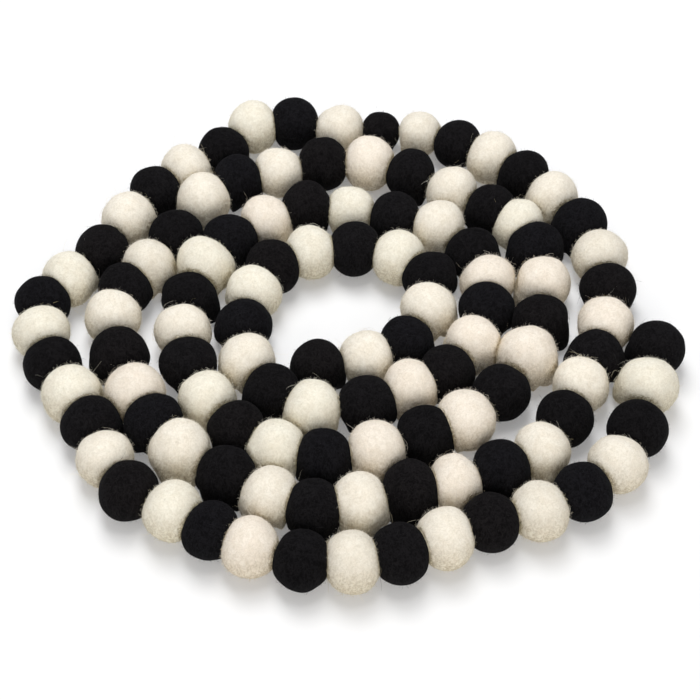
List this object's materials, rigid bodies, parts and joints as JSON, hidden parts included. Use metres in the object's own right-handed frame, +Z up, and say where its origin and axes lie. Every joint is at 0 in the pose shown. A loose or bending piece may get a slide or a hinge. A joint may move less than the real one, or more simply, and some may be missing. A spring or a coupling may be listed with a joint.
{
  "type": "pom-pom garland of felt balls",
  "caption": "Garland of felted wool balls, black and ivory by turns, close together on a hidden string, lying on a table in a loose flat coil.",
  "frame": {"origin": "on the surface that the garland lies on, under the middle of its box", "axes": "+Z up, +X to the right towards the string's outer end, -Y to the front"},
  "size_m": [0.2961, 0.2729, 0.0267],
  "materials": {
    "felt_black": "felted wool, matt, a few stray fibres",
    "felt_ivory": "felted wool, matt, a few stray fibres"
  },
  "bodies": {
    "root": {"pair_01": "felt_black", "pair_02": "felt_ivory", "pair_03": "felt_black", "pair_04": "felt_ivory", "pair_05": "felt_black", "pair_06": "felt_ivory", "pair_07": "felt_black", "pair_08": "felt_ivory", "pair_09": "felt_black", "pair_10": "felt_ivory", "pair_11": "felt_black", "pair_12": "felt_ivory", "pair_13": "felt_black", "pair_14": "felt_ivory", "pair_15": "felt_black", "pair_16": "felt_ivory", "pair_17": "felt_black", "pair_18": "felt_ivory", "pair_19": "felt_black", "pair_20": "felt_ivory", "pair_21": "felt_black", "pair_22": "felt_ivory", "pair_23": "felt_black", "pair_24": "felt_ivory", "pair_25": "felt_black", "pair_26": "felt_ivory", "pair_27": "felt_black", "pair_28": "felt_ivory", "pair_29": "felt_black", "pair_30": "felt_ivory", "pair_31": "felt_black", "pair_32": "felt_ivory", "pair_33": "felt_black", "pair_34": "felt_ivory", "pair_35": "felt_black", "pair_36": "felt_ivory", "pair_37": "felt_black", "pair_38": "felt_ivory", "pair_39": "felt_black", "pair_40": "felt_ivory", "pair_41": "felt_black", "pair_42": "felt_ivory", "pair_43": "felt_black", "pair_44": "felt_ivory", "pair_45": "felt_black", "pair_46": "felt_ivory", "pair_47": "felt_black", "pair_48": "felt_ivory", "pair_49": "felt_black", "pair_50": "felt_ivory", "pair_51": "felt_black", "pair_52": "felt_ivory", "pair_53": "felt_black", "pair_54": "felt_ivory", "pair_55": "felt_black", "end_ball": "felt_ivory"}
  },
  "joints": []
}
